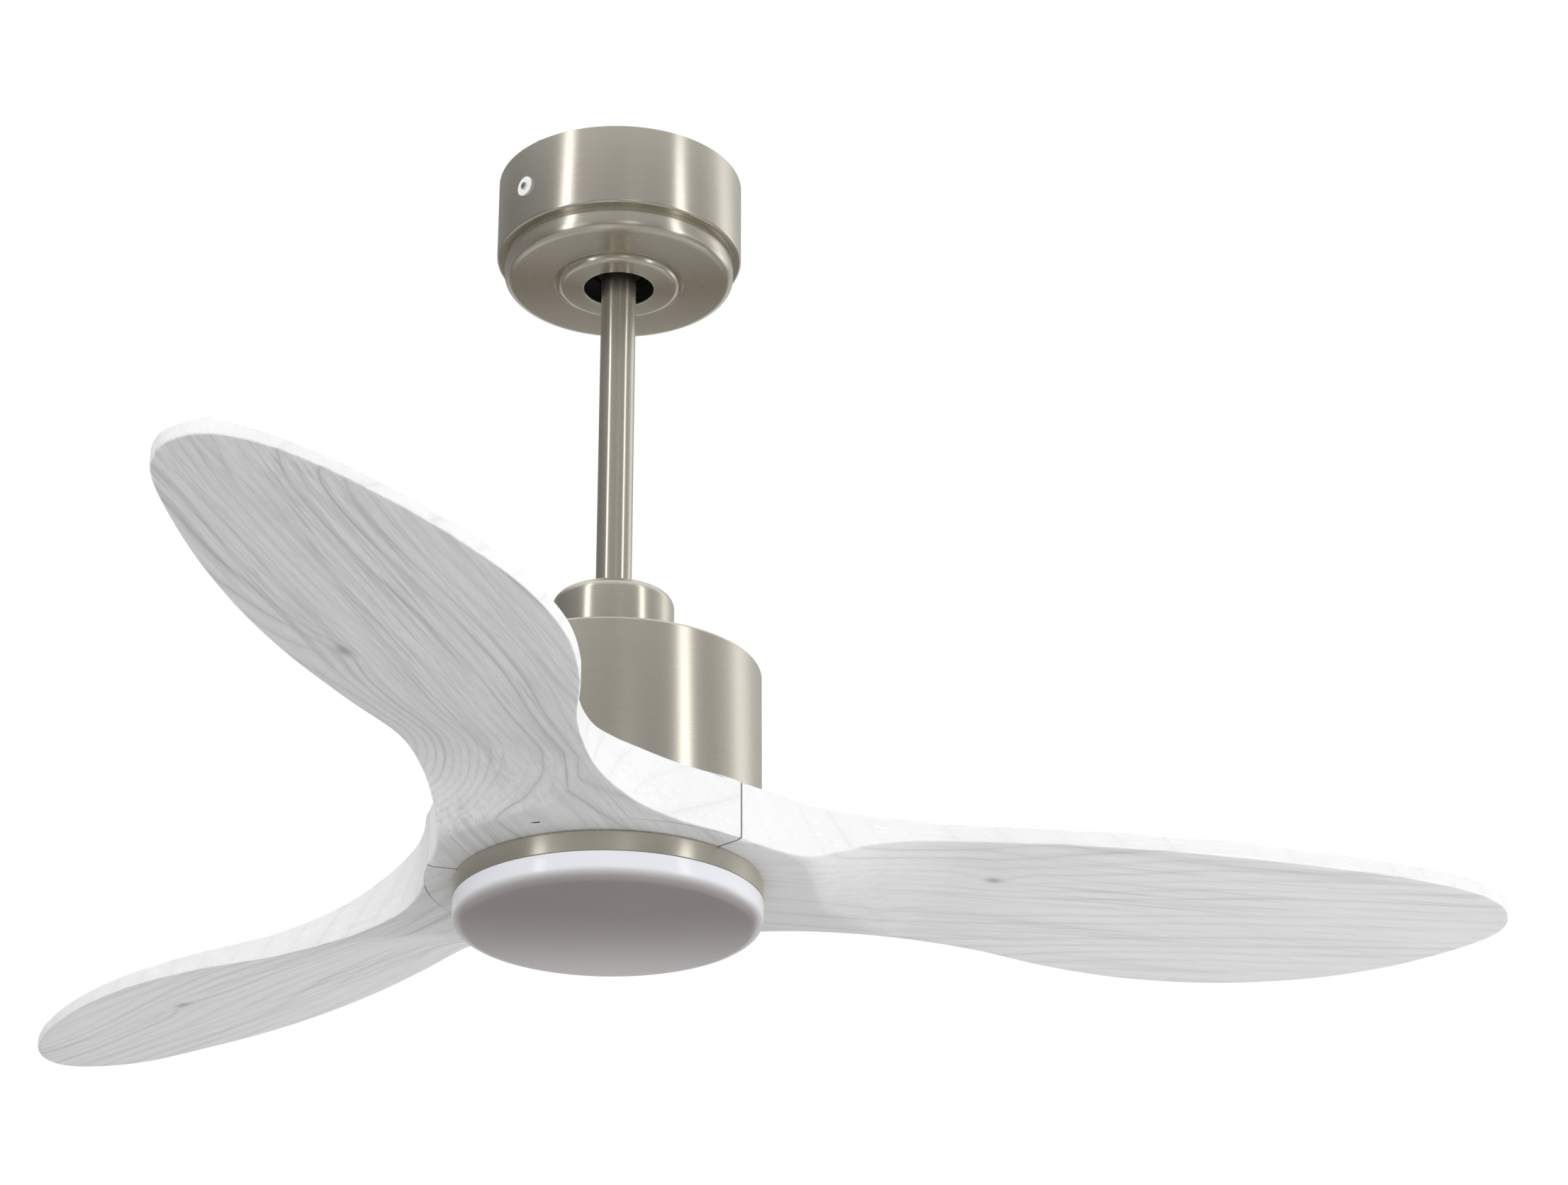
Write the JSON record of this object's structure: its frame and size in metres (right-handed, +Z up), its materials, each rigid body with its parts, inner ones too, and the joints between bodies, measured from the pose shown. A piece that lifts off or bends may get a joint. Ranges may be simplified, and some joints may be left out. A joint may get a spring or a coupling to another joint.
{
  "type": "ceiling fan with light",
  "caption": "Ceiling fan with carved wooden blades on a downrod, a brushed metal canopy and motor housing, and a round opal light below.",
  "frame": {"origin": "on the fan's axis at the ceiling face, where the bracket meets the ceiling, midway between the two ceiling holes", "axes": "+Z up into the ceiling; the first blade points 11.75 degrees from +X towards +Y; the side seen from below in front is -Y"},
  "size_m": [1.095, 1.1349, 0.5844],
  "materials": {
    "brushed_nickel": "satin brushed around the axis",
    "washed_wood": "whitewashed grain, matt",
    "opal_acrylic": "translucent white, glossy",
    "zinc_steel": "zinc plated",
    "cast_alloy": "as cast and turned",
    "bearing_steel": "ground and polished",
    "dark_steel": "black oxide",
    "lamination_steel": "stacked sheet",
    "copper_wire": "enamelled winding wire",
    "magnet": "nickel plated ferrite",
    "black_rubber": "matt",
    "white_nylon": "matt moulded",
    "box_plastic": "matt moulded",
    "circuit_board": "solder mask",
    "wire_insulation": "extruded",
    "white_enamel": "white solder mask on aluminium",
    "led_phosphor": "yellow phosphor gel"
  },
  "bodies": {
    "ceiling_mount": {"ceiling_bracket": "zinc_steel", "bracket_tabs": "zinc_steel", "ball_cradle": "dark_steel", "cradle_rivets": "zinc_steel", "canopy_shell": "brushed_nickel", "canopy_cover": "brushed_nickel", "canopy_trim_ring": "brushed_nickel", "canopy_screws": "zinc_steel", "canopy_washers": "white_nylon", "receiver_box": "box_plastic", "terminal_block": "white_nylon"},
    "swivel_seat": {"ball_seat_ring": "box_plastic"},
    "hanging": {"hanger_ball": "black_rubber", "ball_cross_pin": "zinc_steel", "downrod": "brushed_nickel", "rod_set_screws": "dark_steel", "lead_wires": "wire_insulation", "motor_coupling": "cast_alloy", "clevis_pin": "zinc_steel", "hairpin_clip": "zinc_steel", "coupling_screws": "zinc_steel", "housing_shell": "brushed_nickel", "controller_board": "circuit_board", "controller_parts": "box_plastic", "board_standoffs": "zinc_steel", "motor_shaft": "bearing_steel", "stator_core": "lamination_steel", "stator_windings": "copper_wire", "bearing_inner_rings": "bearing_steel", "bearing_balls": "bearing_steel", "light_mount_plate": "zinc_steel", "light_standoffs": "zinc_steel", "shaft_nut": "zinc_steel", "light_ring": "brushed_nickel", "ring_screws": "zinc_steel", "led_driver": "white_nylon", "led_board": "white_enamel", "led_chips": "led_phosphor"},
    "rotor": {"bearing_outer_rings": "bearing_steel", "rotor_can": "cast_alloy", "rotor_magnets": "magnet", "blade_plate": "cast_alloy", "blade_a": "washed_wood", "blade_b": "washed_wood", "blade_c": "washed_wood", "blade_clamp_plate": "zinc_steel", "blade_screws": "zinc_steel"},
    "cup": {"coupling_cover": "brushed_nickel", "cover_grommet": "black_rubber"},
    "shade": {"diffuser": "opal_acrylic"}
  },
  "joints": [
    {"name": "ball_tilt_x", "type": "hinge", "parent": "ceiling_mount", "child": "swivel_seat", "pos_m": [0, 0, -0.05], "axis": [1, 0, 0], "range_deg": [-10, 10]},
    {"name": "ball_tilt_y", "type": "hinge", "parent": "swivel_seat", "child": "hanging", "pos_m": [0, 0, -0.05], "axis": [0, 1, 0], "range_deg": [-10, 10]},
    {"name": "rotor_spin", "type": "hinge", "parent": "hanging", "child": "rotor", "pos_m": [0, 0, -0.5], "axis": [0, 0, 1], "continuous": true},
    {"name": "cover_slide", "type": "slide", "parent": "hanging", "child": "cup", "axis": [0, 0, 1], "range_m": [0, 0.22]},
    {"name": "diffuser_twist", "type": "hinge", "parent": "hanging", "child": "shade", "pos_m": [0, 0, -0.57], "axis": [0, 0, 1], "range_deg": [0, 25]}
  ]
}
